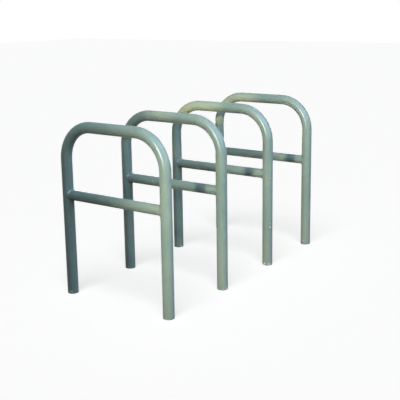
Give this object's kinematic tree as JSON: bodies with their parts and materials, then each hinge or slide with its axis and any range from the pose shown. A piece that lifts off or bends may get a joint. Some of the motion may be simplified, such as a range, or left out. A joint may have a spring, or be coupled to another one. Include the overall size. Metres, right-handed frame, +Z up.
{
  "type": "bike parking stand",
  "caption": "Row of round-tube cycle hoops, each an inverted U with a thinner cross rail welded between its legs, set in the ground for locking bikes upright.",
  "frame": {"origin": "on the ground, in the middle of the row, halfway between the legs", "axes": "+X across each hoop from its left leg to its right, +Y along the row from hoop 1, the nearest in the picture, to hoop 4, +Z up"},
  "size_m": [0.6, 1.38, 1.05],
  "materials": {
    "painted_tube": "semi-gloss sage green powder coat",
    "painted_rail": "semi-gloss sage green powder coat",
    "painted_weld": "semi-gloss sage green powder coat over a rippled weld bead",
    "galvanised_bar": "dull hot-dip galvanised"
  },
  "bodies": {
    "root": {"hoop_1_tube": "painted_tube", "hoop_1_cross_rail": "painted_rail", "hoop_1_weld_left": "painted_weld", "hoop_1_anchor_left": "galvanised_bar", "hoop_1_weld_right": "painted_weld", "hoop_1_anchor_right": "galvanised_bar", "hoop_2_tube": "painted_tube", "hoop_2_cross_rail": "painted_rail", "hoop_2_weld_left": "painted_weld", "hoop_2_anchor_left": "galvanised_bar", "hoop_2_weld_right": "painted_weld", "hoop_2_anchor_right": "galvanised_bar", "hoop_3_tube": "painted_tube", "hoop_3_cross_rail": "painted_rail", "hoop_3_weld_left": "painted_weld", "hoop_3_anchor_left": "galvanised_bar", "hoop_3_weld_right": "painted_weld", "hoop_3_anchor_right": "galvanised_bar", "hoop_4_tube": "painted_tube", "hoop_4_cross_rail": "painted_rail", "hoop_4_weld_left": "painted_weld", "hoop_4_anchor_left": "galvanised_bar", "hoop_4_weld_right": "painted_weld", "hoop_4_anchor_right": "galvanised_bar"}
  },
  "joints": []
}
